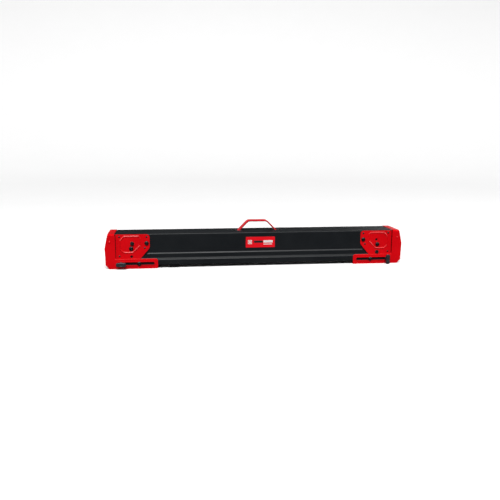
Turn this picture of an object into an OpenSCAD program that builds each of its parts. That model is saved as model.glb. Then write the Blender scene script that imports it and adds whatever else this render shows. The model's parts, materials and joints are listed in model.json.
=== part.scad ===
// Folding stand for a tile cutter: a long channel beam with four legs stowed inside it,
// a pull-out bracket on each end and a carrying strap on top.

/* [Beam] */
// Overall length over both end brackets
total_l = 1200; // [1200:1:1240]
// Length of the channel beam
beam_l = 1120; // [1112:1:1121]
// Depth of the channel between its flat side walls
beam_w = 120; // [120:1:124]
// Height of the beam top above the rest plane
beam_top = 137; // [137:1:140]
// Height of the channel's open lower edge
beam_low = 14; // [8:1:14]
// Sheet thickness of the channel
sheet_t = 2.5; // [2:0.1:3]
// How far the lower rail stands out from the side wall
rail_out = 6; // [4:0.5:7]
// Top of the lower rail's flat face
rail_top = 33; // [32:0.5:36]
// Height of the slope above the rail
rail_slope = 8; // [4:0.5:8]

/* [Side plates] */
// Distance of the plate's inner edge from the end of the beam body
plate_l = 134; // [120:1:150]
// Thickness of a side plate
plate_t = 3; // [2:0.1:4]
// Height of the raised bead on a plate
bead_h = 1.6; // [0.5:0.1:2]

/* [Legs] */
// Outward splay of the leg hinge axis, in degrees
splay = 14; // [10:0.5:15]
// Length of a right-hand leg from pivot to foot
leg_r_l = 840; // [700:5:860]
// How far a leg swings from folded to standing, in degrees
leg_swing = 101; // [90:1:104]
// Leg tube width across the hinge axis
tube_w = 15; // [12:1:16]
// Leg tube height
tube_h = 30; // [24:1:30]
// Leg tube wall thickness
tube_t = 1.5; // [1:0.1:2]
// Distance of a left-hand leg's hinge point from the middle plane
piv_y_l = 28; // [27:0.5:28]
// Distance of a right-hand leg's hinge point from the middle plane
piv_y_r = 17; // [16:0.5:17]
// Height of the left-hand hinge points
piv_z_l = 90; // [88:0.5:92]
// Height of the right-hand hinge points
piv_z_r = 37.5; // [37:0.5:38]
// Radius of a hinge pin
pin_r = 6; // [4:0.5:6]
// Running clearance of a hinge pin in its knuckle
pin_fit = 0.05; // [0.02:0.01:0.1]

/* [End brackets] */
// How far an end bracket pulls out
pull_out = 50; // [20:1:50]
// Gap between a bracket arm and the rail
arm_gap = 0.3; // [0.2:0.1:0.6]
// Thickness of the bracket sheet
arm_t = 3; // [2:0.1:4]
// Width of the bracket's slot
slot_w = 12; // [10:0.5:14]

/* [Wing knobs] */
// Length of a wing knob
knob_l = 39; // [30:1:40]
// Width of a wing knob
knob_w = 17; // [14:1:20]
// How far a wing knob stands out from the bracket arm
knob_h = 22; // [20:1:28]

/* [Carrying strap] */
// Overall height to the top of the strap
strap_top = 179; // [172:1:184]
// Width of the strap
strap_w = 38; // [22:1:40]
// Thickness of the strap
strap_t = 5; // [4:0.5:5]
// How far the strap sits from the middle of the beam
strap_x = 6; // [0:1:10]

/* [Hidden] */
$fn = 48;
e = 0.01;
end_x = total_l / 2;
bx = beam_l / 2;
hw = beam_w / 2;
rw = hw + rail_out;
piv_x = 498;
leg_l_l = leg_r_l + (piv_z_l - piv_z_r) / (cos(splay) * sin(leg_swing));
plate_in = 560.5 - plate_l;
plate_end = bx - 2.2;
plate_low = rail_top + rail_slope * (1 - plate_t / rail_out);
cap_bevel = [9.3, 5];
arm_y = rw + arm_gap;
arm_out = arm_y + arm_t;
slot_z = 20.5;
guide_x = 468;
stud_x = 538;
bolt_a = [438.5, 100.4];
bolt_b = [498.5, 79.7];
piv_hi = [494.5, 99];
piv_lo = [498, 47.5];
rivet_at = [[438, 125.5], [543.5, 126.5], [446, 81.5], [544, 49.5]];
knuckle_w = 18;
cheek_t = 4;
cheek_in = knuckle_w / 2 + 0.5;
hub_r = 19;
btn_s = -13;
red = [0.82, 0.05, 0.07];
black = [0.07, 0.07, 0.08];
steel = [0.72, 0.73, 0.75];
zinc = [0.62, 0.63, 0.62];

// ---- helpers ----

// Corner points of a polygon with its corners rounded to the radii in r.
function unit(v) = v / norm(v);
function corner(p, q, s, r, n) =
  r <= 0 ? [q] :
  let (u = unit(p - q), v = unit(s - q), half = acos(u * v) / 2,
       d = r / tan(half), c = q + unit(u + v) * (r / sin(half)),
       a = q + u * d, b = q + v * d,
       a0 = atan2(a[1] - c[1], a[0] - c[0]), a1 = atan2(b[1] - c[1], b[0] - c[0]),
       da = ((a1 - a0 + 540) % 360) - 180)
  [for (i = [0 : n]) c + r * [cos(a0 + da * i / n), sin(a0 + da * i / n)]];
function rounded(pts, r, n = 6) = [
  for (i = [0 : len(pts) - 1])
    each corner(pts[(i + len(pts) - 1) % len(pts)], pts[i], pts[(i + 1) % len(pts)], r[i], n)
];

// Puts local +Z along the outward normal of the front (f = -1) or back (f = 1) face.
module at_face(f, x, z, y) { translate([x, f * y, z]) rotate([-90 * f, 0, 0]) children(); }

// Extrudes an outline drawn in X and Z between two distances from the middle plane on side f.
module slab(f, y0, y1) {
  translate([0, f > 0 ? y1 : -y0, 0]) rotate([90, 0, 0]) linear_extrude(height = y1 - y0) children();
}

// Hinge frame of a leg: e is -1 left or 1 right, f is -1 front or 1 back.
// Local X runs along the folded leg, local Y along the hinge axis.
module leg_frame(e, f) {
  translate([e * piv_x, f * (e < 0 ? piv_y_l : piv_y_r), e < 0 ? piv_z_l : piv_z_r])
    rotate([f * splay, 0, 0]) scale_x(-e) children();
}
module scale_x(s) { if (s < 0) mirror([1, 0, 0]) children(); else children(); }

// Button-head screw with its head's underside at z = 0 and its shank going down.
module button_screw(rs, rh, hh, l, sock = 0) {
  difference() {
    union() {
      rotate_extrude() polygon([[0, 0], [rh, 0], [rh, hh * 0.25], [rh * 0.93, hh * 0.55], [rh * 0.74, hh * 0.84], [rh * 0.5, hh], [0, hh]]);
      translate([0, 0, -l]) cylinder(r = rs, h = l + e);
    }
    if (sock > 0) translate([0, 0, hh * 0.35]) cylinder(r = sock, h = hh, $fn = 6);
  }
}
module hex_nut(rs, af, h) {
  difference() {
    cylinder(r = af / 2 / cos(30), h = h, $fn = 6);
    translate([0, 0, -1]) cylinder(r = rs, h = h + 2);
  }
}

// ---- beam ----

module channel_outer() {
  r = 4;
  translate([-hw, rail_top]) square([beam_w, beam_top - r - rail_top]);
  translate([-hw + r, beam_top - r - 1]) square([beam_w - 2 * r, r + 1]);
  for (s = [-1, 1]) translate([s * (hw - r), beam_top - r]) circle(r = r);
  polygon([[-rw, beam_low], [rw, beam_low], [rw, rail_top], [hw - e, rail_top + rail_slope], [-hw + e, rail_top + rail_slope], [-rw, rail_top]]);
}
module channel_inner() {
  r = 1.5;
  w = hw - sheet_t;
  t = beam_top - sheet_t;
  translate([-w, rail_top - sheet_t - 1]) square([2 * w, t - r - rail_top + sheet_t + 1]);
  translate([-w + r, t - r - 1]) square([2 * (w - r), r + 1]);
  for (s = [-1, 1]) translate([s * (w - r), t - r]) circle(r = r);
  translate([-rw + sheet_t, beam_low - 5]) square([2 * (rw - sheet_t), rail_top - sheet_t - beam_low + 5]);
}
module through(x, z, r) { translate([x, 100, z]) rotate([90, 0, 0]) cylinder(r = r, h = 200); }

module beam_channel() {
  color(black) difference() {
    union() {
      translate([-bx, 0, 0]) rotate([90, 0, 90]) linear_extrude(height = beam_l) difference() {
        channel_outer();
        channel_inner();
      }
      // Raised lower band, cut at a slant where the side plates begin.
      intersection() {
        translate([-500, 0, 0]) rotate([90, 0, 90]) linear_extrude(height = 1000) for (k = [-1, 1]) polygon([
          [k * (hw - 1), rail_top + 1], [k * (rw - 0.8), rail_top + 1], [k * (hw + 2.4), rail_top + rail_slope],
          [k * (hw + 2.4), 57], [k * (hw - e), 61], [k * (hw - 1), 61]]);
        slab(1, -rw, rw) polygon([[-459, rail_top + 1], [-433, 62], [433, 62], [459, rail_top + 1]]);
      }
    }
    for (s = [-1, 1]) {
      for (p = rivet_at) through(s * p[0], p[1], 2.4);
      through(s * bolt_a[0], bolt_a[1], 5.2);
      through(s * bolt_b[0], bolt_b[1], 5.2);
      through(s * guide_x, slot_z, 4.2);
      through(s * stud_x, slot_z, 4.2);
    }
    through(-piv_hi[0], piv_hi[1], 5.2);
    through(piv_lo[0], piv_lo[1], 5.2);
    for (k = [-1, 1]) {
      translate([strap_x + k * 77 - 7, -strap_w / 2 - 1, beam_top - 10]) cube([14, strap_w + 2, 20]);
      for (y = screw_y) translate([strap_x + k * screw_x, y, beam_top - 10]) cylinder(r = 2.7, h = 20);
    }
    for (f = [-1, 1]) through(-332 + 12 * f, 22, 1.6);
  }
}

// ---- side plates ----

module plate2d() {
  polygon(rounded([[plate_end, plate_low], [plate_end, 136], [plate_in, 136], [plate_in, 82], [465, plate_low]], [2, 2, 13, 22, 14]));
}
// Moves the sides of a polygon inwards by d.
function inset(pts, d) = [
  for (i = [0 : len(pts) - 1])
    let (n = len(pts), u = unit(pts[i] - pts[(i + n - 1) % n]), v = unit(pts[(i + 1) % n] - pts[i]),
         a = [u[1], -u[0]], b = [v[1], -v[0]])
    pts[i] + (a + b) * d / (1 + a * b)
];
// Pressed ridge with sloped sides, round the pivot holes.
bead_mid = [[525.5, 127.4], [540, 111.5], [540, 75], [528, 63.5], [492, 63.5], [463, 92], [463, 121], [469.4, 127.4]];
bead_rings = [[-3.7, -0.3], [-0.7, 1], [0.7, 1], [3.7, -0.3]];
module bead() {
  n = len(bead_mid);
  polyhedron(
    points = [for (g = bead_rings) for (q = inset(bead_mid, g[0])) [q[0], -hw - plate_t - g[1] * bead_h, q[1]]],
    faces = [for (k = [0 : 3]) for (i = [0 : n - 1])
      [k * n + i, k * n + (i + 1) % n, ((k + 1) % 4) * n + (i + 1) % n, ((k + 1) % 4) * n + i]]);
}
module side_plate(s, f) {
  color(red) scale_x(s) difference() {
    union() {
      slab(f, hw, hw + plate_t) plate2d();
      if (f > 0) mirror([0, 1, 0]) bead();
      else bead();
    }
    // The lower edge lies on the rail's slope.
    translate([400, 0, 0]) rotate([90, 0, 90]) linear_extrude(height = 200) polygon([
      [f * (hw - 3), rail_top + rail_slope + rail_slope * 3 / rail_out], [f * rw, rail_top], [f * rw, 20], [f * (hw - 3), 20]]);
    for (p = rivet_at) through(p[0], p[1], 2.4);
    through(bolt_a[0], bolt_a[1], 5.2);
    through(bolt_b[0], bolt_b[1], 5.2);
    through(piv_hi[0], piv_hi[1], 5.2);
    through(piv_lo[0], piv_lo[1], 5.2);
  }
}
module side_plate_front_left() { side_plate(-1, -1); }
module side_plate_front_right() { side_plate(1, -1); }
module side_plate_back_left() { side_plate(-1, 1); }
module side_plate_back_right() { side_plate(1, 1); }

module plate_rivets(f) {
  color(black) for (s = [-1, 1]) for (p = rivet_at) at_face(f, s * p[0], p[1], hw + plate_t) {
    rotate_extrude() polygon([[0, 0], [3.6, 0], [3.3, 0.7], [2.3, 1.4], [0, 1.7]]);
    translate([0, 0, -plate_t - sheet_t - 1.2]) cylinder(r = 2.35, h = plate_t + sheet_t + 1.2 + e);
    translate([0, 0, -plate_t - sheet_t - 1.2]) cylinder(r = 3.4, h = 1.2);
  }
}
module plate_rivets_front() { plate_rivets(-1); }
module plate_rivets_back() { plate_rivets(1); }

// ---- hub carriers ----

// Stop pin: the standing leg's tube comes to rest against it.
stop_r = 3;
stop_at = 30 * [cos(leg_swing), -sin(leg_swing)] + (tube_h / 2 + stop_r + 0.3) * [-sin(leg_swing), -cos(leg_swing)];
// Cheek outline in the hinge frame: a round eye, a lobe for the stop pin and a neck up to the shelf.
module cheek2d(up) {
  circle(r = 17);
  translate([-17, 0]) square([34, up]);
  translate(stop_at) circle(r = 6);
  polygon([[-16.6, -3], [-29.2, -23.6], [-20, -30.7], [5, -16.2]]);
}
// One welded carrier: a shelf, tabs on both walls and four tilted cheeks.
module hub_carrier(s) {
  z0 = s < 0 ? piv_z_l : piv_z_r;
  y0 = s < 0 ? piv_y_l : piv_y_r;
  shelf = z0 + 24;
  lo = s < 0 ? 68 : 40;
  color(zinc) difference() {
    union() {
      for (f = [-1, 1]) {
        scale_x(s) slab(f, hw - sheet_t - 3, hw - sheet_t)
          polygon(rounded([[548, lo], [548, 116], [430, 116], [430, lo + 18], [448, lo]], [5, 5, 5, 5, 5]));
        intersection() {
          leg_frame(s, f) for (k = [-1, 1]) translate([0, k * (cheek_in + cheek_t / 2) + cheek_t / 2, 0])
            rotate([90, 0, 0]) linear_extrude(height = cheek_t) cheek2d(30);
          translate([-600, -70, -20]) cube([1200, 140, shelf + 23]);
        }
      }
      scale_x(s) translate([468, -hw + sheet_t, shelf]) cube([62, 2 * (hw - sheet_t), 3]);
    }
    for (f = [-1, 1]) leg_frame(s, f) rotate([90, 0, 0]) {
      translate([0, 0, -30]) cylinder(r = pin_r, h = 60);
      translate([stop_at[0], stop_at[1], -30]) cylinder(r = stop_r, h = 60);
    }
    // Lock holes for the snap buttons, folded and standing.
    for (f = [-1, 1]) leg_frame(s, f) for (a = [0, leg_swing]) rotate([0, a, 0])
      translate([btn_s, 0, 0]) rotate([-90 * f, 0, 0]) translate([0, 0, 8]) cylinder(r = 3.4, h = 8);
    for (p = rivet_at) through(s * p[0], p[1], 4.2);
    through(s * bolt_a[0], bolt_a[1], 5.2);
    through(s * bolt_b[0], bolt_b[1], 5.2);
    if (s < 0) through(-piv_hi[0], piv_hi[1], 5.2);
    else through(piv_lo[0], piv_lo[1], 5.2);
  }
}
module hub_carrier_left() { hub_carrier(-1); }
module hub_carrier_right() { hub_carrier(1); }

module carrier_bolts() {
  color(black) for (f = [-1, 1]) for (s = [-1, 1]) for (p = [bolt_a, bolt_b])
    at_face(f, s * p[0], p[1], hw + plate_t) button_screw(5.15, 8.6, 5, plate_t + sheet_t + 3 + 6.5, 2.9);
}
module carrier_nuts() {
  color(zinc) for (f = [-1, 1]) for (s = [-1, 1]) for (p = [bolt_a, bolt_b])
    at_face(f, s * p[0], p[1], hw - sheet_t - 3 - 5.5) hex_nut(5.15, 16, 5.5);
}
module pivot_bolts() {
  color(steel) for (f = [-1, 1]) for (q = [[-1, piv_hi], [1, piv_lo]])
    at_face(f, q[0] * q[1][0], q[1][1], hw + plate_t) {
      difference() {
        union() {
          cylinder(r = 8, h = 1.2);
          translate([0, 0, 1.2 - e]) rotate_extrude() polygon([[0, 0], [6.8, 0], [6.8, 2.6], [6, 4], [4.4, 4.6], [0, 4.6]]);
          translate([0, 0, -plate_t - sheet_t - 3 - 6.5]) cylinder(r = 5.15, h = plate_t + sheet_t + 3 + 6.5 + e);
        }
        translate([0, 0, 3.2]) cylinder(r = 2.9, h = 5, $fn = 6);
      }
    }
}
module pivot_nuts() {
  color(zinc) for (f = [-1, 1]) for (q = [[-1, piv_hi], [1, piv_lo]])
    at_face(f, q[0] * q[1][0], q[1][1], hw - sheet_t - 3 - 5.5) hex_nut(5.15, 16, 5.5);
}
// Hinge pins on the tilted axes, with the stop pins beside them.
module hinge_pins() {
  color(steel) for (s = [-1, 1]) for (f = [-1, 1]) leg_frame(s, f) {
    translate([0, f * (cheek_in + cheek_t), 0]) rotate([f * 90, 0, 0]) cylinder(r = pin_r, h = 2 * (cheek_in + cheek_t));
    translate([0, f * (cheek_in + cheek_t + 1.5), 0]) rotate([f * 90, 0, 0]) cylinder(r = pin_r + 2, h = 1.5 + e);
    translate([stop_at[0], f * (cheek_in + cheek_t), stop_at[1]]) rotate([f * 90, 0, 0]) cylinder(r = stop_r, h = 2 * (cheek_in + cheek_t));
  }
}

// ---- bracket fixings ----

module guide_bolts() {
  color(black) for (f = [-1, 1]) for (s = [-1, 1])
    at_face(f, s * guide_x, slot_z, arm_out + 1.5) button_screw(4, 8.2, 4.2, arm_out + 1.5 - rw + sheet_t + 5.6, 2.3);
}
module guide_nuts() {
  color(zinc) for (f = [-1, 1]) for (s = [-1, 1])
    at_face(f, s * guide_x, slot_z, rw - sheet_t - 5) hex_nut(4, 13, 5);
}
module clamp_studs() {
  color(steel) for (f = [-1, 1]) for (s = [-1, 1])
    at_face(f, s * stud_x, slot_z, rw - sheet_t - 4) {
      cylinder(r = 7, h = 4);
      translate([0, 0, 4 - e]) cylinder(r = 4, h = arm_out - rw + sheet_t + 18);
    }
}

// ---- top and front ----

module label_plate() {
  color(red) slab(-1, hw, hw + 1.2)
    polygon(rounded([[-47, 75], [71, 75], [71, 118], [-47, 118]], [2.5, 2.5, 2.5, 2.5]));
}

strap_z = beam_top - sheet_t - strap_t / 2;
strap_hi = strap_top - strap_t / 2;
strap_foot = 105;
screw_x = 95;
screw_y = [-11, 11];
strap_key = [[-strap_foot, strap_z], [-81, strap_z], [-38, strap_hi], [38, strap_hi], [81, strap_z], [strap_foot, strap_z]];
strap_line = [
  strap_key[0],
  for (i = [1 : 4]) each [for (q = corner(strap_key[i - 1], strap_key[i], strap_key[i + 1], i == 1 || i == 4 ? 6 : 20, 8)) q],
  strap_key[5]
];
function side_of(l, i) =
  let (u = unit(l[min(i + 1, len(l) - 1)] - l[max(i - 1, 0)])) [-u[1], u[0]];
strap_edge = [for (k = [1, -1]) [for (i = [0 : len(strap_line) - 1]) strap_line[i] + k * strap_t / 2 * side_of(strap_line, i)]];
module handle_strap() {
  color(red) translate([strap_x, 0, 0]) difference() {
    translate([0, strap_w / 2, 0]) rotate([90, 0, 0]) linear_extrude(height = strap_w)
      polygon([each strap_edge[0], for (i = [len(strap_line) - 1 : -1 : 0]) strap_edge[1][i]]);
    for (k = [-1, 1]) for (y = screw_y) translate([k * screw_x, y, 100]) cylinder(r = 2.7, h = 50);
  }
}
// Clamp plates under the strap's feet, inside the beam.
module handle_end_plates() {
  z = beam_top - sheet_t - strap_t - 3;
  color(black) translate([strap_x, 0, 0]) for (k = [-1, 1]) scale_x(k) difference() {
    translate([0, 0, z]) linear_extrude(height = 3)
      polygon(rounded([[87, -20], [106, -20], [106, 20], [87, 20]], [3, 4, 4, 3]));
    for (y = screw_y) translate([screw_x, y, 100]) cylinder(r = 2.7, h = 50);
  }
}
module handle_screws() {
  color(black) for (k = [-1, 1]) for (y = screw_y) translate([strap_x + k * screw_x, y, beam_top])
    button_screw(2.65, 4.8, 2.4, sheet_t + strap_t + 3 + 4.5, 1.6);
}
module handle_nuts() {
  color(zinc) for (k = [-1, 1]) for (y = screw_y) translate([strap_x + k * screw_x, y, beam_top - sheet_t - strap_t - 3 - 4]) hex_nut(2.65, 8, 4);
}
// Moulded frames that line the strap's slots in the beam top.
module strap_bezels() {
  w = strap_w / 2 + 0.6;
  color(black) for (k = [-1, 1]) translate([strap_x + k * 77, 0, beam_top]) difference() {
    linear_extrude(height = 2.2) polygon(rounded([[-11.5, -w - 5], [11.5, -w - 5], [11.5, w + 5], [-11.5, w + 5]], [5, 5, 5, 5]));
    translate([-6.6, -w, -1]) cube([13.2, 2 * w, 6]);
  }
}

// Sprung finger tabs under the lower edge, beside the stowed feet.
module stow_clips() {
  color(black) for (f = [-1, 1]) difference() {
    union() {
      slab(f, rw - sheet_t - 1.5, rw - sheet_t)
        polygon(rounded([[-352, 4.6], [-312, 4.6], [-312, 28], [-352, 28]], [4, 4, 3, 3]));
      slab(f, rw - sheet_t - 4, rw - sheet_t - 1.5 + e)
        polygon(rounded([[-350, 4.6], [-314, 4.6], [-314, 8.2], [-350, 8.2]], [1.5, 1.5, 1.5, 1.5]));
    }
    for (g = [-1, 1]) through(-332 + 12 * g, 22, 1.6);
  }
}
module stow_clip_rivets() {
  color(black) for (f = [-1, 1]) for (g = [-1, 1]) at_face(f, -332 + 12 * g, 22, rw - sheet_t - 1.5) {
    translate([0, 0, -0.9]) cylinder(r = 2.4, h = 0.9);
    translate([0, 0, -e]) cylinder(r = 1.55, h = sheet_t + 1.5 + 0.8);
    translate([0, 0, sheet_t + 1.5]) cylinder(r = 2.4, h = 0.8);
  }
}

// ---- wing knobs ----

module knob(s, f, turn) {
  color(black) at_face(f, s * stud_x, slot_z, arm_out + 1.5) difference() {
    union() {
      cylinder(r = 8.2, h = 6);
      cylinder(r = 6.8, h = knob_h);
      rotate([0, 0, turn]) {
        translate([0, 0, 5]) linear_extrude(height = knob_h - 5 - 1.2) {
          square([knob_l - knob_w * 0.8, knob_w * 0.8], center = true);
          for (k = [-1, 1]) translate([k * (knob_l - knob_w * 0.8) / 2, 0]) circle(r = knob_w * 0.4);
        }
        translate([0, 0, knob_h - 9]) linear_extrude(height = 9) {
          square([knob_l - knob_w, knob_w], center = true);
          for (k = [-1, 1]) translate([k * (knob_l - knob_w) / 2, 0]) circle(r = knob_w / 2);
        }
      }
    }
    translate([0, 0, -1]) cylinder(r = 4 + pin_fit, h = 20.5);
  }
}
module knob_front_left() { knob(-1, -1, 0); }
module knob_front_right() { knob(1, -1, 90); }
module knob_back_left() { knob(-1, 1, 0); }
module knob_back_right() { knob(1, 1, 90); }

// ---- end brackets ----

cap_o = [[562, 0], [583, 0], [598, 17], [end_x, 84], [588, beam_top + 1], [562, beam_top + 1]];
cap_i = [[540, 3], [581.7, 3], [595, 18.2], [end_x - 3, 84], [585.4, beam_top - 2], [540, beam_top - 2]];
module end_bracket(s) {
  color(red) scale_x(s) difference() {
    union() {
      difference() {
        intersection() {
          slab(1, -arm_out, arm_out) polygon(cap_o);
          // The cap's long edges are bevelled.
          translate([500, 0, 0]) rotate([90, 0, 90]) linear_extrude(height = 200) polygon([
            [-arm_out, 0], [arm_out, 0], [arm_out, beam_top + 1 - cap_bevel[1]], [arm_out - cap_bevel[0], beam_top + 1],
            [-arm_out + cap_bevel[0], beam_top + 1], [-arm_out, beam_top + 1 - cap_bevel[1]]]);
        }
        intersection() {
          slab(1, -arm_y, arm_y) polygon(cap_i);
          translate([500, 0, 0]) rotate([90, 0, 90]) linear_extrude(height = 200) polygon([
            [-arm_y, 0], [arm_y, 0], [arm_y, beam_top - 0.8 - cap_bevel[1]], [arm_y - cap_bevel[0] * 0.76, beam_top - 2],
            [-arm_y + cap_bevel[0] * 0.76, beam_top - 2], [-arm_y, beam_top - 0.8 - cap_bevel[1]]]);
        }
      }
      for (f = [-1, 1]) {
        intersection() {
          slab(f, arm_y, arm_out)
            polygon(rounded([[396, 0], [563, 0], [563, 45], [559.4, 45], [552, 39.3], [396, 39.3]], [3, 0, 0, 0, 0, 8]));
          translate([300, 0, 0]) rotate([90, 0, 90]) linear_extrude(height = 300) polygon([
            [f * (arm_y - 1), -1], [f * (arm_out + 1), -1], [f * (arm_out + 1), 37.2], [f * arm_out, 38.2],
            [f * (arm_out - 1.1), 39.3], [f * (arm_out - 1.1), 50], [f * (arm_y - 1), 50]]);
        }
        // Front edge of the cap's side.
        slab(f, arm_y, arm_out) polygon([[559.4, 40], [564, 40], [564, 132], [560.4, 132], [559.4, 131]]);
        // Raised rim round the slot.
        slab(f, arm_out - e, arm_out + 0.6) slot2d(slot_w / 2 + 3.4);
        slab(f, arm_out - e, arm_out + 1.2) slot2d(slot_w / 2 + 2.2);
      }
    }
    for (f = [-1, 1]) slab(f, arm_y - 1, arm_out + 2) slot2d(slot_w / 2);
    through(581, 107, 2.4);
  }
}
module slot2d(r) {
  translate([415, slot_z - r]) square([133, 2 * r]);
  for (x = [415, 548]) translate([x, slot_z]) circle(r = r);
}
module end_bracket_left() { end_bracket(-1); }
module end_bracket_right() { end_bracket(1); }
module end_cap_rivets(s) {
  color(red) for (f = [-1, 1]) at_face(f, s * 581, 107, arm_out) {
    rotate_extrude() polygon([[0, 0], [4, 0], [3.6, 1], [2.4, 1.9], [0, 2.2]]);
    translate([0, 0, -plate_t - 1.2]) cylinder(r = 2.35, h = plate_t + 1.2 + e);
    translate([0, 0, -plate_t - 1.2]) cylinder(r = 3.4, h = 1.2);
  }
}
module end_cap_rivets_left() { end_cap_rivets(-1); }
module end_cap_rivets_right() { end_cap_rivets(1); }

// ---- legs ----

function leg_len(s) = s < 0 ? leg_l_l : leg_r_l;
module along_y(w) { translate([0, w / 2, 0]) rotate([90, 0, 0]) linear_extrude(height = w) children(); }

module leg_tube(s, f) {
  l = leg_len(s);
  color(black) leg_frame(s, f) difference() {
    translate([22, -tube_w / 2, -tube_h / 2]) cube([l - 40 - 22, tube_w, tube_h]);
    translate([20, -tube_w / 2 + tube_t, -tube_h / 2 + tube_t]) cube([l, tube_w - 2 * tube_t, tube_h - 2 * tube_t]);
  }
}
module leg_knuckle(s, f) {
  color(zinc) leg_frame(s, f) difference() {
    union() {
      along_y(knuckle_w) circle(r = hub_r);
      along_y(knuckle_w) translate([0, -13]) square([21.8, 26]);
      along_y(tube_w - 2 * tube_t) translate([10, -tube_h / 2 + tube_t]) square([52, tube_h - 2 * tube_t]);
    }
    rotate([90, 0, 0]) translate([0, 0, -20]) cylinder(r = pin_r + pin_fit, h = 40);
    // Blind pocket for the button and its spring, open towards the outer cheek.
    translate([btn_s, f * 0, 0]) rotate([-90 * f, 0, 0]) translate([0, 0, -6.5]) cylinder(r = 3.05, h = 20);
  }
}
module foot_boot(s, f) {
  l = leg_len(s);
  color(black) leg_frame(s, f) difference() {
    along_y(20) {
      translate([l - 62, -17.5]) square([50, 35]);
      translate([l - 14, 0]) circle(r = 17.5);
    }
    translate([l - 70, -tube_w / 2, -tube_h / 2]) cube([30, tube_w, tube_h]);
  }
}
module snap_button(s, f) {
  color(steel) leg_frame(s, f) translate([btn_s, 0, 0]) rotate([-90 * f, 0, 0]) {
    translate([0, 0, 2]) cylinder(r = 3, h = 5.2);
    translate([0, 0, 7.2 - e]) cylinder(r1 = 3, r2 = 2, h = 2);
  }
}
module button_spring(s, f) {
  color(zinc) leg_frame(s, f) translate([btn_s, 0, 0]) rotate([-90 * f, 0, 0]) difference() {
    translate([0, 0, -6.5]) cylinder(r = 2.6, h = 8.5);
    translate([0, 0, -7.5]) cylinder(r = 1.9, h = 11);
  }
}
module leg_tube_front_left() { leg_tube(-1, -1); }
module leg_tube_back_left() { leg_tube(-1, 1); }
module leg_tube_front_right() { leg_tube(1, -1); }
module leg_tube_back_right() { leg_tube(1, 1); }
module leg_knuckle_front_left() { leg_knuckle(-1, -1); }
module leg_knuckle_back_left() { leg_knuckle(-1, 1); }
module leg_knuckle_front_right() { leg_knuckle(1, -1); }
module leg_knuckle_back_right() { leg_knuckle(1, 1); }
module foot_boot_front_left() { foot_boot(-1, -1); }
module foot_boot_back_left() { foot_boot(-1, 1); }
module foot_boot_front_right() { foot_boot(1, -1); }
module foot_boot_back_right() { foot_boot(1, 1); }
module snap_button_front_left() { snap_button(-1, -1); }
module snap_button_back_left() { snap_button(-1, 1); }
module snap_button_front_right() { snap_button(1, -1); }
module snap_button_back_right() { snap_button(1, 1); }
module button_spring_front_left() { button_spring(-1, -1); }
module button_spring_back_left() { button_spring(-1, 1); }
module button_spring_front_right() { button_spring(1, -1); }
module button_spring_back_right() { button_spring(1, 1); }

// ---- drawing ----
beam_channel();
side_plate_front_left();
side_plate_front_right();
side_plate_back_left();
side_plate_back_right();
plate_rivets_front();
plate_rivets_back();
hub_carrier_left();
hub_carrier_right();
carrier_bolts();
carrier_nuts();
pivot_bolts();
pivot_nuts();
hinge_pins();
guide_bolts();
guide_nuts();
clamp_studs();
label_plate();
handle_strap();
handle_end_plates();
handle_screws();
handle_nuts();
strap_bezels();
stow_clips();
stow_clip_rivets();
knob_front_left();
knob_front_right();
knob_back_left();
knob_back_right();
end_bracket_left();
end_bracket_right();
end_cap_rivets_left();
end_cap_rivets_right();
leg_tube_front_left();
leg_tube_back_left();
leg_tube_front_right();
leg_tube_back_right();
leg_knuckle_front_left();
leg_knuckle_back_left();
leg_knuckle_front_right();
leg_knuckle_back_right();
foot_boot_front_left();
foot_boot_back_left();
foot_boot_front_right();
foot_boot_back_right();
snap_button_front_left();
snap_button_back_left();
snap_button_front_right();
snap_button_back_right();
button_spring_front_left();
button_spring_back_left();
button_spring_front_right();
button_spring_back_right();
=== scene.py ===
import bpy, bmesh, json, math, random
from mathutils import Matrix, Vector


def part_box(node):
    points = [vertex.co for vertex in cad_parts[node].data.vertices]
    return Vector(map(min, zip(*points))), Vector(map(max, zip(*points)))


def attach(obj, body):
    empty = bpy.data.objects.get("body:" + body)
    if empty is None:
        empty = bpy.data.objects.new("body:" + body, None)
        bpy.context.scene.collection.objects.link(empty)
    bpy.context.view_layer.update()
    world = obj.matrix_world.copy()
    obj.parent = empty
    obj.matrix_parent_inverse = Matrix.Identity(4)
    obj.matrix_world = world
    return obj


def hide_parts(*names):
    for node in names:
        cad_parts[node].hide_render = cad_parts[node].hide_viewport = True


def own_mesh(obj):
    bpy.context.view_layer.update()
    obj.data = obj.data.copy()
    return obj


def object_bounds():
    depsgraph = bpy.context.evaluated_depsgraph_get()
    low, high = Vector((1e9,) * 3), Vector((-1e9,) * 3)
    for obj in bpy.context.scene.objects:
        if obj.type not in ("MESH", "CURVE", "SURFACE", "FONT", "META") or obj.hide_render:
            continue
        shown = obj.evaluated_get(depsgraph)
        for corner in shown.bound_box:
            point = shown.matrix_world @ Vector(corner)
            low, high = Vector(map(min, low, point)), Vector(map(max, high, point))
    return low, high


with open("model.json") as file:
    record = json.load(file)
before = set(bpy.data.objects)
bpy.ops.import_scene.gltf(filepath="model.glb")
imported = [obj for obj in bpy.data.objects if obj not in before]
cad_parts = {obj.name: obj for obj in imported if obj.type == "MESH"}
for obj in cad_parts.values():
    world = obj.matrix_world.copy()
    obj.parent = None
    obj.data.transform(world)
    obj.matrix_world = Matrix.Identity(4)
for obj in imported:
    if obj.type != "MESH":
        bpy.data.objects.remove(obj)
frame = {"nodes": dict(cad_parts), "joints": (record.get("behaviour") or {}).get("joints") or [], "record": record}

cad_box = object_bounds()
scene = bpy.context.scene
nodes = frame["nodes"]
R3 = random.Random(7)


def collection_link(o):
    scene.collection.objects.link(o)
    return o


# ------------------------------------------------------------------ camera
lo_all, hi_all = Vector(cad_box[0]), Vector(cad_box[1])


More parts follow.
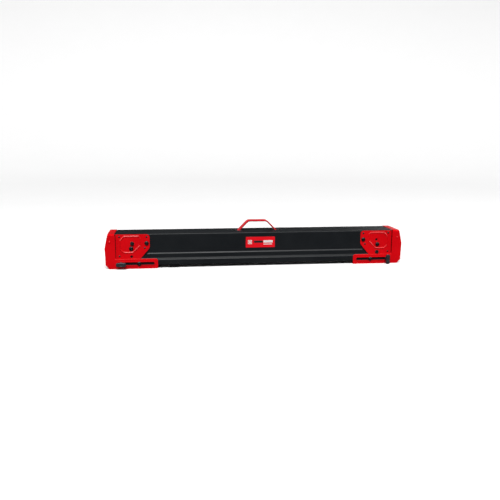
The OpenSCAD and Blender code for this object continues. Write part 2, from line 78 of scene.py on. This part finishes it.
def make_camera():
    rv = Vector((0.1853, -0.1292, -0.0074))
    turn = Matrix.Rotation(rv.length, 3, rv.normalized())
    to_cam = turn @ Matrix(((1, 0, 0), (0, 0, -1), (0, 1, 0)))
    t = Vector((0.0298, -0.0718, 2.4017))
    centre = -(to_cam.transposed() @ t) + Vector((0, -0.060, 0.137))
    right, down, fwd = to_cam.row[0], to_cam.row[1], to_cam.row[2]
    cam = bpy.data.cameras.new("camera")
    cam.sensor_width = 36
    cam.lens = 43.2
    cam.clip_end = 60
    o = collection_link(bpy.data.objects.new("camera", cam))
    m = Matrix((right, -down, -fwd)).transposed().to_4x4()
    m.translation = centre
    o.matrix_world = m
    scene.camera = o


make_camera()

# ------------------------------------------------------------------ shader helpers


class Mat:
    """A small wrapper that builds node materials."""

    def __init__(self, name):
        self.m = bpy.data.materials.new(name)
        self.m.use_nodes = True
        self.t = self.m.node_tree
        self.b = next(n for n in self.t.nodes if n.type == "BSDF_PRINCIPLED")
        self.tc = self.t.nodes.new("ShaderNodeTexCoord")

    def link(self, a, b):
        self.t.links.new(a, b)

    def mapped(self, scale=(1, 1, 1), rot=(0, 0, 0), loc=(0, 0, 0)):
        n = self.t.nodes.new("ShaderNodeMapping")
        n.inputs["Scale"].default_value = scale
        n.inputs["Rotation"].default_value = rot
        n.inputs["Location"].default_value = loc
        self.link(self.tc.outputs["Object"], n.inputs["Vector"])
        return n.outputs["Vector"]

    def noise(self, scale, detail=4, rough=0.55, vec=None, dist=0.0):
        n = self.t.nodes.new("ShaderNodeTexNoise")
        n.inputs["Scale"].default_value = scale
        n.inputs["Detail"].default_value = detail
        n.inputs["Roughness"].default_value = rough
        n.inputs["Distortion"].default_value = dist
        self.link(vec or self.tc.outputs["Object"], n.inputs["Vector"])
        return n.outputs["Fac"]

    def voronoi(self, scale, vec=None, feature="F1"):
        n = self.t.nodes.new("ShaderNodeTexVoronoi")
        n.feature = feature
        n.inputs["Scale"].default_value = scale
        self.link(vec or self.tc.outputs["Object"], n.inputs["Vector"])
        return n.outputs["Distance"]

    def wave(self, scale, vec=None, direction="X", dist=0.0):
        n = self.t.nodes.new("ShaderNodeTexWave")
        n.bands_direction = direction
        n.inputs["Scale"].default_value = scale
        n.inputs["Distortion"].default_value = dist
        self.link(vec or self.tc.outputs["Object"], n.inputs["Vector"])
        return n.outputs["Fac"]

    def ramp(self, fac, a, b, va=0.0, vb=1.0):
        n = self.t.nodes.new("ShaderNodeMapRange")
        n.inputs["From Min"].default_value = a
        n.inputs["From Max"].default_value = b
        n.inputs["To Min"].default_value = va
        n.inputs["To Max"].default_value = vb
        self.link(fac, n.inputs["Value"])
        return n.outputs["Result"]

    def math(self, op, a, b=None):
        n = self.t.nodes.new("ShaderNodeMath")
        n.operation = op
        n.use_clamp = op in ("MULTIPLY", "ADD", "SUBTRACT") and False
        for i, v in enumerate((a, b)):
            if v is None:
                continue
            if isinstance(v, (int, float)):
                n.inputs[i].default_value = v
            else:
                self.link(v, n.inputs[i])
        return n.outputs[0]

    def mix(self, fac, a, b):
        n = self.t.nodes.new("ShaderNodeMix")
        n.data_type = "RGBA"
        for s, v in (("Factor", fac), ("A", a), ("B", b)):
            i = next(k for k in n.inputs if k.name == s and (k.type == "RGBA" or s == "Factor" and k.type == "VALUE"))
            if isinstance(v, (int, float)):
                i.default_value = v
            elif isinstance(v, (tuple, list)):
                i.default_value = (*v, 1)
            else:
                self.link(v, i)
        return next(k for k in n.outputs if k.type == "RGBA")

    def bump(self, height, strength, distance, normal=None):
        n = self.t.nodes.new("ShaderNodeBump")
        n.inputs["Strength"].default_value = strength
        n.inputs["Distance"].default_value = distance
        self.link(height, n.inputs["Height"])
        if normal is not None:
            self.link(normal, n.inputs["Normal"])
        return n.outputs["Normal"]

    def edges(self, radius=0.0012, low=0.03, high=0.35):
        """1 on sharp edges, 0 on flats."""
        bv = self.t.nodes.new("ShaderNodeBevel")
        bv.samples = 4
        bv.inputs["Radius"].default_value = radius
        g = self.t.nodes.new("ShaderNodeNewGeometry")
        d = self.t.nodes.new("ShaderNodeVectorMath")
        d.operation = "DOT_PRODUCT"
        self.link(bv.outputs["Normal"], d.inputs[0])
        self.link(g.outputs["Normal"], d.inputs[1])
        return self.ramp(self.math("SUBTRACT", 1.0, d.outputs["Value"]), low, high)

    def set(self, **kw):
        names = {"color": "Base Color", "rough": "Roughness", "metal": "Metallic", "spec": "Specular IOR Level",
                 "coat": "Coat Weight", "coat_rough": "Coat Roughness", "normal": "Normal", "sheen": "Sheen Weight",
                 "sheen_rough": "Sheen Roughness", "ior": "IOR", "aniso": "Anisotropic", "coat_normal": "Coat Normal"}
        for k, v in kw.items():
            i = self.b.inputs[names[k]]
            if isinstance(v, (int, float)):
                i.default_value = v
            elif isinstance(v, (tuple, list)):
                i.default_value = (*v, 1)
            else:
                self.link(v, i)
        return self


def powder(name, base, dark, light, worn, rough, peel=0.10, coat=0.0, coat_rough=0.2, spec=0.5, wear=0.5, metal=0.0):
    """Powder coat: orange peel, cloudy tone, hairline scuffs and rubbed edges."""
    k = Mat(name)
    cloud = k.noise(7, 5, 0.6)
    fine = k.noise(160, 3, 0.6)
    col = k.mix(k.ramp(cloud, 0.35, 0.7), dark, base)
    col = k.mix(k.math("MULTIPLY", k.ramp(fine, 0.45, 0.75), 0.35), col, light)
    scuff_v = k.mapped(scale=(14, 260, 260))
    scuff = k.ramp(k.noise(1.0, 6, 0.75, scuff_v), 0.66, 0.74)
    patch = k.ramp(k.noise(9, 3, 0.6, k.mapped(loc=(3.1, 1.7, 0.4))), 0.5, 0.7)
    scuff = k.math("MULTIPLY", scuff, patch)
    col = k.mix(k.math("MULTIPLY", scuff, 0.18), col, worn)
    rub = k.math("MULTIPLY", k.edges(0.0011), k.ramp(k.noise(95, 5, 0.7), 0.42, 0.62))
    col = k.mix(k.math("MULTIPLY", rub, wear), col, worn)
    r = k.math("ADD", k.ramp(cloud, 0.3, 0.7, rough - 0.05, rough + 0.07), k.math("MULTIPLY", scuff, 0.14))
    peel_n = k.noise(750, 2, 0.5)
    n = k.bump(peel_n, peel, 0.0004)
    n = k.bump(scuff, 0.12, 0.0002, n)
    k.set(color=col, rough=r, normal=n, coat=coat, coat_rough=coat_rough, spec=spec, metal=metal)
    return k.m


def plated(name, a, b, rough, brush=(1, 1, 1), metal=1.0, spot=(0.3, 0.27, 0.22), grime=0.35):
    """Plated or turned steel with fine machining lines, fingered roughness and small random blots of grime."""
    k = Mat(name)
    big = k.noise(38, 4, 0.6)
    line = k.noise(1.0, 3, 0.7, k.mapped(scale=brush))
    col = k.mix(k.ramp(big, 0.3, 0.7), a, b)
    blot = k.ramp(k.noise(120, 5, 0.65, k.mapped(loc=(2, 5, 1))), 0.58, 0.72)
    col = k.mix(k.math("MULTIPLY", blot, grime), col, spot)
    edge = k.edges(0.0008)
    col = k.mix(k.math("MULTIPLY", edge, 0.4), col, (0.85, 0.85, 0.86))
    r = k.math("ADD", k.ramp(line, 0.3, 0.7, rough - 0.07, rough + 0.10), k.math("MULTIPLY", blot, 0.15))
    k.set(color=col, metal=metal, rough=r, normal=k.bump(line, 0.18, 0.00015))
    return k.m


def plastic(name, a, b, rough, grain=900, bumpy=0.25):
    k = Mat(name)
    cloud = k.noise(60, 4, 0.6)
    grit = k.noise(grain, 2, 0.6)
    col = k.mix(k.ramp(cloud, 0.3, 0.7), a, b)
    rub = k.math("MULTIPLY", k.edges(0.0015), k.ramp(k.noise(150, 4, 0.7), 0.4, 0.65))
    col = k.mix(k.math("MULTIPLY", rub, 0.45), col, tuple(min(1, c * 2.4 + 0.03) for c in b))
    r = k.math("SUBTRACT", k.ramp(grit, 0.3, 0.7, rough - 0.03, rough + 0.08), k.math("MULTIPLY", rub, 0.12))
    k.set(color=col, rough=r, normal=k.bump(grit, bumpy, 0.0002), spec=0.45)
    return k.m


def woven(name, a, b, pitch):
    """Webbing: a herringbone of fine ribs across the strap with fuzzy sheen."""
    k = Mat(name)
    v = k.mapped(scale=(1 / pitch, 1 / pitch, 1 / pitch))
    across = k.wave(1.0, v, "Y")
    diag = k.wave(0.7, k.mapped(scale=(1 / pitch, 1 / pitch, 1 / pitch), rot=(0, 0, 0.785)), "X")
    rib = k.math("MULTIPLY", across, k.ramp(diag, 0, 1, 0.4, 1.0))
    fuzz = k.noise(1500, 3, 0.7)
    # The valleys between the ribs are painted in the darker colour b, a painted shade in the recesses of the weave;
    # the bump below shapes the same ribs.
    col = k.mix(k.ramp(rib, 0.1, 0.9), b, a)
    col = k.mix(k.math("MULTIPLY", k.ramp(k.noise(30, 4, 0.6), 0.5, 0.75), 0.35), col, b)
    n = k.bump(rib, 0.55, 0.0006)
    n = k.bump(fuzz, 0.25, 0.0002, n)
    k.set(color=col, rough=k.ramp(fuzz, 0.3, 0.7, 0.62, 0.85), normal=n, sheen=0.04, sheen_rough=0.5, spec=0.25)
    return k.m


M = {}
M["red_coat"] = powder("red_coat", (0.67, 0.0007, 0.0044), (0.58, 0.0006, 0.0037), (0.73, 0.0016, 0.0068), (0.72, 0.05, 0.05), 0.33, peel=0.08, coat=0.03, coat_rough=0.20, spec=0.27, wear=0.28)
M["black_coat"] = powder("black_coat", (0.0082, 0.0098, 0.0114), (0.0060, 0.0073, 0.0088), (0.013, 0.015, 0.0175), (0.045, 0.048, 0.052), 0.42, peel=0.20, wear=0.28, spec=0.24)
M["leg_coat"] = powder("leg_coat", (0.020, 0.021, 0.023), (0.014, 0.015, 0.016), (0.034, 0.035, 0.038), (0.20, 0.20, 0.20), 0.38, peel=0.08, wear=0.5)
M["zinc"] = plated("zinc", (0.56, 0.57, 0.58), (0.66, 0.66, 0.62), 0.38, brush=(30, 900, 900))
M["bright_steel"] = plated("bright_steel", (0.70, 0.71, 0.73), (0.80, 0.80, 0.82), 0.22, brush=(900, 900, 900), grime=0.2)
M["black_oxide"] = plated("black_oxide", (0.007, 0.007, 0.008), (0.013, 0.013, 0.014), 0.34, brush=(700, 700, 700), metal=0.6, spot=(0.03, 0.026, 0.022))
M["knob_plastic"] = plastic("knob_plastic", (0.015, 0.018, 0.022), (0.024, 0.027, 0.032), 0.38)
M["boot_rubber"] = plastic("boot_rubber", (0.012, 0.012, 0.012), (0.022, 0.021, 0.020), 0.72, grain=600, bumpy=0.4)
M["strap_web"] = woven("strap_web", (0.76, 0.004, 0.014), (0.50, 0.002, 0.008), 0.0021)
M["label"] = powder("label", (0.80, 0.006, 0.016), (0.74, 0.004, 0.012), (0.86, 0.02, 0.03), (0.85, 0.4, 0.38), 0.24, peel=0.03, coat=0.5, coat_rough=0.08, wear=0.3)
M["label_white"] = powder("label_white", (0.80, 0.79, 0.77), (0.72, 0.71, 0.69), (0.88, 0.88, 0.87), (0.6, 0.5, 0.5), 0.30, peel=0.03, wear=0.2)
M["label_dark"] = powder("label_dark", (0.02, 0.02, 0.022), (0.014, 0.014, 0.015), (0.03, 0.03, 0.03), (0.3, 0.1, 0.1), 0.30, peel=0.03, wear=0.2)
M["thread"] = woven("thread", (0.55, 0.02, 0.03), (0.3, 0.01, 0.015), 0.0008)

slot_of = {s["node"]: s["material_slot"] for s in frame["record"]["subparts"]}
for n, o in nodes.items():
    o.data.materials.clear()
    o.data.materials.append(M[slot_of[n]])


def soften(o, width, segments=2, angle=28):
    """Joins the split corners and rounds the sharp edges, as a modifier."""
    w = o.modifiers.new("join", "WELD")
    w.merge_threshold = 1e-6
    b = o.modifiers.new("round", "BEVEL")
    b.width = width
    b.segments = segments
    b.limit_method = "ANGLE"
    b.angle_limit = math.radians(angle)
    b.use_clamp_overlap = True
    b.harden_normals = False
    b.miter_outer = "MITER_ARC"
    n = o.modifiers.new("flat_faces", "WEIGHTED_NORMAL")
    n.mode = "FACE_AREA_WITH_ANGLE"
    n.weight = 90
    n.keep_sharp = True


# ------------------------------------------------------------------ mesh helpers
def mesh_object(name, verts, faces, mat, body, smooth=True, replaces=()):
    me = bpy.data.meshes.new(name)
    me.from_pydata([tuple(v) for v in verts], [], faces)
    me.validate()
    me.update()
    bm = bmesh.new()
    bm.from_mesh(me)
    bmesh.ops.recalc_face_normals(bm, faces=bm.faces)
    bm.to_mesh(me)
    bm.free()
    if smooth:
        for q in me.polygons:
            q.use_smooth = True
    me.materials.append(M[mat])
    o = collection_link(bpy.data.objects.new(name, me))
    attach(o, body)
    if replaces:
        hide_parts(*replaces)
    return o


def loft(rings, closed_ends=True):
    """Joins rings of equal length into a closed skin."""
    n = len(rings[0])
    verts = [v for r in rings for v in r]
    faces = []
    for i in range(len(rings) - 1):
        for j in range(n):
            k = (j + 1) % n
            faces.append((i * n + j, i * n + k, (i + 1) * n + k, (i + 1) * n + j))
    if closed_ends:
        for base, order in ((0, -1), ((len(rings) - 1) * n, 1)):
            c = len(verts)
            ring = verts[base:base + n]
            verts.append(tuple(sum(v[a] for v in ring) / n for a in range(3)))
            for j in range(n):
                k = (j + 1) % n
                faces.append((base + j, base + k, c) if order > 0 else (base + k, base + j, c))
    return verts, faces


def oblong(hx, hy, n=48, p=2.6):
    """A rounded outline with half sizes hx and hy."""
    out = []
    r = min(hx, hy)
    ex = hx - r
    ey = hy - r
    for i in range(n):
        a = 2 * math.pi * i / n
        c, d = math.cos(a), math.sin(a)
        k = (abs(c) ** p + abs(d) ** p) ** (-1 / p)
        x, y = r * k * c, r * k * d
        out.append((x + math.copysign(ex, c) * min(1, abs(c) * 6), y + math.copysign(ey, d) * min(1, abs(d) * 6)))
    return out


def round_path(keys, radii, step):
    """Points of a 2D path whose corners are rounded, evenly spaced."""
    pts = [Vector(keys[0])]
    for i in range(1, len(keys) - 1):
        p, q, r = Vector(keys[i - 1]), Vector(keys[i]), Vector(keys[i + 1])
        u, v = (p - q).normalized(), (r - q).normalized()
        half = math.acos(max(-1, min(1, u.dot(v)))) / 2
        d = radii[i - 1] / math.tan(half)
        c = q + (u + v).normalized() * (radii[i - 1] / math.sin(half))
        a, b = q + u * d - c, q + v * d - c
        turn = a.angle_signed(b)
        for k in range(13):
            f = -turn * k / 12
            pts.append(c + Vector((a.x * math.cos(f) - a.y * math.sin(f), a.x * math.sin(f) + a.y * math.cos(f))))
    pts.append(Vector(keys[-1]))
    out, rest = [pts[0]], 0.0
    for a, b in zip(pts, pts[1:]):
        l = (b - a).length
        if l < 1e-9:
            continue
        t = step - rest
        while t <= l:
            out.append(a + (b - a) * (t / l))
            t += step
        rest = l - (t - step)
    out.append(pts[-1])
    return out


def frame_from(z_axis, x_hint=Vector((1, 0, 0))):
    z = z_axis.normalized()
    x = (x_hint - z * x_hint.dot(z)).normalized()
    y = z.cross(x)
    return Matrix((x, y, z)).transposed()


joint = {j["name"]: j for j in frame["joints"]}
parts4 = [(s, f) for s in ("left", "right") for f in ("front", "back")]

# ------------------------------------------------------------------ carrying strap
def build_strap():
    lo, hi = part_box("handle_strap")
    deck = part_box("beam_channel")[1].z
    t = 0.005
    cx = (lo.x + hi.x) / 2
    x1 = hi.x - cx
    zf, zt = lo.z + t / 2, hi.z - t / 2 - 0.00025
    keys = [(-x1, zf), (-0.081, zf), (-0.038, zt), (0.038, zt), (0.081, zf), (x1, zf)]
    path = [q + Vector((cx, 0)) for q in round_path(keys, [0.006, 0.020, 0.020, 0.006], 0.00055)]
    hw = (hi.y - lo.y) / 2 - 0.0002
    n = 44
    rings = []
    dist = 0.0
    for i, q in enumerate(path):
        a, b = path[max(0, i - 1)], path[min(len(path) - 1, i + 1)]
        tan = (b - a).normalized()
        nor = Vector((-tan.y, tan.x))
        if i:
            dist += (q - path[i - 1]).length
        rib = 0.5 - 0.5 * math.cos(2 * math.pi * dist / 0.0026)
        ring = []
        for j in range(n):
            u = j / n
            if u < 0.5:
                y = -hw + 2 * hw * (u / 0.5)
                side = 1
            else:
                y = hw - 2 * hw * ((u - 0.5) / 0.5)
                side = -1
            e = abs(y) / hw
            half = t / 2 * (1 - max(0, (e - 0.94) / 0.06) ** 2 * 0.75)
            # A raised selvedge down each edge, a shallow valley inside it, and ribs across.
            half -= 0.00035 * (1 if 0.80 < e < 0.86 else 0)
            half -= 0.00016 * rib * (0 if e > 0.86 else 1)
            off = nor * (side * half)
            ring.append((q.x + off.x, y, q.y + off.y))
        rings.append(ring)
    v, f = loft(rings)
    mesh_object("strap_band", v, f, "strap_web", "beam", replaces=["handle_strap"])
    # Two rows of lock stitches, top and underside, and a box stitch at each end of the grip.
    sv, sf = [], []

    def stitch(p, d, nrm, l=0.0024, r=0.00032):
        d, nrm = d.normalized(), nrm.normalized()
        w = d.cross(nrm)
        rings2 = []
        for k in range(7):
            s = -1 + 2 * k / 6
            rad = r * math.sqrt(max(0.02, 1 - s ** 4))
            c = p + d * (s * l / 2) - nrm * (0.00018 * s * s)
            rings2.append([tuple(c + w * (rad * math.cos(a)) + nrm * (rad * 0.8 * math.sin(a))) for a in [2 * math.pi * m / 8 for m in range(8)]])
        a, b = loft(rings2)
        base = len(sv)
        sv.extend(a)
        sf.extend([tuple(base + k for k in q) for q in b])

    def at(dist_i, y, side):
        q = path[dist_i]
        a, b = path[max(0, dist_i - 2)], path[min(len(path) - 1, dist_i + 2)]
        tan = (b - a).normalized()
        nor = Vector((-tan.y, tan.x)) * side
        p = Vector((q.x + nor.x * (t / 2 - 0.00028), y, q.y + nor.y * (t / 2 - 0.00028)))
        return p, Vector((tan.x, 0, tan.y)), Vector((nor.x, 0, nor.y))

    start = next(i for i, q in enumerate(path) if q.y > deck + 0.004)
    stop = len(path) - start
    for side in (1, -1):
        for y in (-hw * 0.83, hw * 0.83):
            for i in range(start, stop, 6):
                p, d, nn = at(i, y, side)
                stitch(p, d, nn)
    top = [i for i, q in enumerate(path) if q.y > zt - 0.0001]
    for i0, i1 in ((top[0], top[0] + 26), (top[-1] - 26, top[-1])):
        for side in (1, -1):
            for i in (i0, i1):
                for y in [-0.011 + 0.0037 * k for k in range(7)]:
                    p, d, nn = at(i, y, side)
                    stitch(p, Vector((0, 1, 0)), nn)
            for k in range(6):
                fr = k / 5
                for sgn in (1, -1):
                    p, d, nn = at(int(i0 + (i1 - i0) * fr), sgn * (-0.010 + 0.020 * fr), side)
                    stitch(p, Vector((d.x * 0.014, sgn * 0.020, d.z * 0.014)), nn)
    mesh_object("strap_stitching", sv, sf, "thread", "beam")


build_strap()

# ------------------------------------------------------------------ wing knobs
def build_knob(side, face):
    t = face + "_" + side
    node = "knob_" + t
    lo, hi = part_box(node)
    j = joint["knob_turn_" + t]
    out = Vector(j["axis"])
    base = Vector(j["pos_m"])
    long_x = (hi.x - lo.x) > (hi.z - lo.z)
    hl = max(hi.x - lo.x, hi.z - lo.z) / 2
    hs = min(hi.x - lo.x, hi.z - lo.z) / 2
    height = hi.y - lo.y
    u = Vector((1, 0, 0)) if long_x else Vector((0, 0, 1))
    w = out.cross(u)
    n = 64
    rings = []

    def ring(h, a, b, p=2.6, flute=0.0):
        pts = []
        for x, y in oblong(a, b, n, p):
            # Finger hollows in the middle of both long sides.
            k = math.exp(-(x / (hl * 0.42)) ** 2) * flute
            y *= 1 - k
            pts.append(tuple(base + out * h + u * x + w * y))
        rings.append(pts)

    r0 = 0.0082
    ring(0.0001, r0 - 0.0008, r0 - 0.0008, 2)
    ring(0.0006, r0, r0, 2)
    ring(0.0040, r0, r0, 2)
    ring(0.0046, r0 - 0.0006, r0 - 0.0006, 2)
    ring(0.0050, 0.0070, 0.0068, 2)
    ring(0.0060, 0.0100, 0.0064, 2.2)
    ring(0.0075, 0.0150, 0.0062, 2.4, 0.03)
    ring(0.0100, hl * 0.93, hs * 0.76, 2.6, 0.10)
    ring(0.0125, hl * 0.975, hs * 0.88, 2.7, 0.14)
    ring(0.0150, hl * 0.995, hs * 0.96, 2.8, 0.15)
    ring(0.0172, hl, hs, 2.8, 0.15)
    ring(0.0190, hl * 0.995, hs * 0.985, 2.8, 0.14)
    ring(0.0204, hl * 0.975, hs * 0.93, 2.8, 0.12)
    ring(0.0213, hl * 0.94, hs * 0.84, 2.8, 0.10)
    ring(0.0217, hl * 0.88, hs * 0.72, 2.6, 0.06)
    ring(0.0218, hl * 0.60, hs * 0.60, 2.4, 0.0)
    # Moulded dish in the middle of the top.
    ring(0.0218, 0.0060, 0.0058, 2)
    ring(0.0212, 0.0052, 0.0051, 2)
    ring(0.0209, 0.0030, 0.0030, 2)
    v, f = loft(rings)
    o = mesh_object("wing_" + t, v, f, "knob_plastic", "wing_knob_" + t, replaces=[node])
    sub = o.modifiers.new("smooth", "SUBSURF")
    sub.levels = sub.render_levels = 1

for side, face in parts4:
    build_knob(side, face)

# ------------------------------------------------------------------ legs: boots and springs
def leg_axes(t, side):
    j = joint["leg_swing_" + t]
    p = Vector(j["pos_m"])
    ax = Vector(j["axis"])
    along = Vector((1, 0, 0)) if side == "left" else Vector((-1, 0, 0))
    y = ax if side == "left" else -ax
    return p, along, y, Vector((1, 0, 0)).cross(y)


def build_boot(side, face):
    t = face + "_" + side
    p, ax, ay, az = leg_axes(t, side)
    lo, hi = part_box("foot_boot_" + t)
    tip = (hi.x - p.x) if side == "left" else (p.x - lo.x)
    s0 = tip - (hi.x - lo.x)
    hy, hz, r = 0.010, 0.0175, 0.0175
    n = 40
    rings = []
    cx = tip - r
    stations = []
    s = s0
    while s < cx:
        stations.append((s, hz, hy))
        s += 0.0011
    for k in range(1, 16):
        a = math.pi / 2 * k / 16
        stations.append((cx + r * math.sin(a), hz * math.cos(a), hy * (1 - 0.10 * (k / 16) ** 4)))
    for s, z, y in stations:
        d = s - s0
        groove = 0.0
        if 0.004 < d < 0.030:
            groove = 0.0009 * max(0, math.cos(2 * math.pi * (d - 0.004) / 0.0052)) ** 2
        lip = 0.0008 if d < 0.0022 else 0.0
        tread = 0.0009 if d > 0.046 and math.cos(2 * math.pi * d / 0.0046) > 0.35 else 0.0
        z2 = max(0.0012, z - groove - tread + 0 - (0.0008 - lip) * (d < 0.03))
        y2 = y - groove - (0.0008 - lip) * (d < 0.03)
        ring = []
        for x0, y0 in oblong(z2, y2, n, 5.0 if z2 > y2 else 3.0):
            ring.append(tuple(p + ax * s + az * x0 + ay * y0))
        rings.append(ring)
    v, f = loft(rings)
    mesh_object("boot_" + t, v, f, "boot_rubber", "leg_" + t, replaces=["foot_boot_" + t])


def build_spring(side, face):
    t = face + "_" + side
    j = joint["button_press_" + t]
    out = Vector(j["axis"])
    lo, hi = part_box("button_spring_" + t)
    mid = (lo + hi) / 2
    m3 = frame_from(out)
    l, rm, rw, turns, per = 0.0085, 0.0022, 0.00036, 7.5, 18
    rings = []
    total = int(turns * per)
    for i in range(total + 1):
        f = i / total
        # Closed flat coils at both ends.
        g = min(max((f * turns - 0.8) / (turns - 1.6), 0), 1)
        h = -l / 2 + rw + (l - 2 * rw) * (0.08 * min(f * turns / 0.8, 1) + 0.84 * g + 0.08 * max(0, (f * turns - turns + 0.8) / 0.8))
        a = 2 * math.pi * f * turns
        c = mid + m3 @ Vector((rm * math.cos(a), rm * math.sin(a), h))
        rad = m3 @ Vector((math.cos(a), math.sin(a), 0))
        rings.append([tuple(c + rad * (rw * math.cos(b)) + out * (rw * math.sin(b))) for b in [2 * math.pi * q / 8 for q in range(8)]])
    v, f = loft(rings)
    o = mesh_object("coil_" + t, v, f, "bright_steel", "leg_" + t, replaces=["button_spring_" + t])
    # The seat in the leg holds one end; the button pushes the other.
    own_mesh(o)


for side, face in parts4:
    build_boot(side, face)
    build_spring(side, face)

# ------------------------------------------------------------------ generic label
def build_label():
    lo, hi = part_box("label_plate")
    w, h = hi.x - lo.x, hi.z - lo.z
    y = lo.y

    def tile(x0, z0, x1, z1, r, verts, faces, lift=0.00022):
        out = []
        for cx, cz, a0 in ((x1 - r, z1 - r, 0), (x0 + r, z1 - r, 90), (x0 + r, z0 + r, 180), (x1 - r, z0 + r, 270)):
            for k in range(5):
                a = math.radians(a0 + 90 * k / 4)
                out.append((cx + r * math.cos(a), cz + r * math.sin(a)))
        cx, cz = (x0 + x1) / 2, (z0 + z1) / 2
        rings = []
        for d, inset in ((0.00002, 0), (-lift * 0.7, 0), (-lift, 0.00015)):
            ring = []
            for x, z in out:
                sx = x - math.copysign(inset, x - cx)
                sz = z - math.copysign(inset, z - cz)
                ring.append((sx, y + d, sz))
            rings.append(ring)
        a, b = loft(rings)
        base = len(verts)
        verts.extend(a)
        faces.extend([tuple(base + k for k in g) for g in b])

    wv, wf, dv, df = [], [], [], []
    X = lambda f: lo.x + w * f
    Z = lambda f: lo.z + h * f
    # A plain framed square, then a dark bar, a white bar and a thin white rule.
    s = 0.0158
    x, z, e = X(0.075), Z(0.33), 0.0022
    tile(x, z, x + s, z + e, 0.0005, wv, wf)
    tile(x, z + s - e, x + s, z + s, 0.0005, wv, wf)
    tile(x, z + e, x + e, z + s - e, 0.0001, wv, wf)
    tile(x + s - e, z + e, x + s, z + s - e, 0.0001, wv, wf)
    tile(x + 0.0045, z + 0.0045, x + s - 0.0045, z + s - 0.0045, 0.0006, wv, wf)
    tile(X(0.275), Z(0.44), X(0.585), Z(0.64), 0.0012, dv, df)
    tile(X(0.605), Z(0.44), X(0.925), Z(0.66), 0.0012, wv, wf)
    tile(X(0.605), Z(0.27), X(0.905), Z(0.335), 0.0006, wv, wf)
    mesh_object("label_white_tiles", wv, wf, "label_white", "beam", smooth=False)
    mesh_object("label_dark_bar", dv, df, "label_dark", "beam", smooth=False)


build_label()

# ------------------------------------------------------------------ rounded edges on the CAD pieces
for n, o in nodes.items():
    if n.startswith("side_plate"):
        soften(o, 0.0006, 2)
    elif n.startswith("end_bracket"):
        soften(o, 0.0009, 3)
    elif n.startswith("leg_tube"):
        soften(o, 0.0016, 3)
    elif n.startswith("hub_carrier") or n.startswith("leg_knuckle") or n == "label_plate" or n == "handle_end_plates" or n == "strap_bezels":
        soften(o, 0.0005, 2)
    elif n.startswith(("carrier_bolts", "guide_bolts", "handle_screws", "pivot_bolts")):
        soften(o, 0.00035, 2, 24)
    elif n.startswith(("carrier_nuts", "pivot_nuts", "guide_nuts", "handle_nuts", "stow_clips")):
        soften(o, 0.0004, 2)

# ------------------------------------------------------------------ stage and light
def cyclorama():
    """A round floor that curves up into a wall on every side."""
    prof = [(0.0, 0.0), (2.0, 0.0), (5.0, 0.0)]
    for i in range(1, 21):
        a = i / 20 * math.pi / 2
        prof.append((5.0 + 6 * math.sin(a), 6 - 6 * math.cos(a)))
    prof.append((11.0, 15.0))
    n = 96
    me = bpy.data.meshes.new("backdrop")
    bm = bmesh.new()
    centre = bm.verts.new((0, 0, 0))
    rows = [[bm.verts.new((r * math.cos(2 * math.pi * k / n), r * math.sin(2 * math.pi * k / n), z)) for k in range(n)] for r, z in prof[1:]]
    for k in range(n):
        bm.faces.new((centre, rows[0][k], rows[0][(k + 1) % n]))
    for a, b in zip(rows, rows[1:]):
        for k in range(n):
            bm.faces.new((a[k], b[k], b[(k + 1) % n], a[(k + 1) % n]))
    bm.to_mesh(me)
    bm.free()
    for p in me.polygons:
        p.use_smooth = True
    o = collection_link(bpy.data.objects.new("backdrop", me))
    k = Mat("backdrop")
    v = k.noise(3, 4, 0.6)
    k.set(color=k.mix(k.ramp(v, 0.3, 0.7), (0.95, 0.95, 0.95), (0.96, 0.96, 0.96)), rough=0.9, spec=0.05)
    me.materials.append(k.m)
    # The gloss picks up the studio's dark surroundings, not the pale sweep; a weak light from below stands in for its bounce.
    o.visible_glossy = False
    o.visible_diffuse = False
    o.visible_shadow = False


cyclorama()
world = bpy.data.worlds.new("world")
scene.world = world
world.use_nodes = True
bg = world.node_tree.nodes["Background"]
bg.inputs["Color"].default_value = (1, 1, 1, 1)
bg.inputs["Strength"].default_value = 0.045


def area(name, loc, target, size, energy, color=(1, 1, 1)):
    l = bpy.data.lights.new(name, "AREA")
    l.shape = "RECTANGLE"
    l.size, l.size_y = size
    l.energy = energy
    l.color = color
    o = collection_link(bpy.data.objects.new(name, l))
    o.location = loc
    d = Vector(target) - Vector(loc)
    o.rotation_euler = d.to_track_quat("-Z", "Y").to_euler()
    return o


def sun(name, azimuth, elevation, spread, energy):
    """A very soft distant source; azimuth 0 shines along +Y from the front."""
    l = bpy.data.lights.new(name, "SUN")
    l.energy = energy
    l.angle = math.radians(spread)
    o = collection_link(bpy.data.objects.new(name, l))
    a, e = math.radians(azimuth), math.radians(elevation)
    d = Vector((math.sin(a) * math.cos(e), math.cos(a) * math.cos(e), -math.sin(e)))
    o.rotation_euler = d.to_track_quat("-Z", "Y").to_euler()
    return o


sun("soft_key", 6, 52, 36, 3.2)
sun("floor_bounce", 0, -76, 60, 0.45)
sun("back_fill_left", 140, 12, 36, 0.75)
sun("back_fill_right", 220, 12, 36, 0.55)
# A long narrow strip high in front draws the thin lines along ledges, beads and folds.
area("strip", (0.25, -1.45, 2.35), (0.05, 0.0, 0.08), (3.2, 0.22), 30)
# Two boxes low at the sides catch the slanted folds.
area("box_left", (-2.74, -1.32, 1.64), (-0.45, 0.0, 0.08), (0.8, 0.8), 20)
area("box_right", (3.17, -0.73, 1.30), (0.45, 0.0, 0.08), (0.8, 0.8), 20)
scene.view_settings.view_transform = "Standard"
scene.view_settings.look = "None"
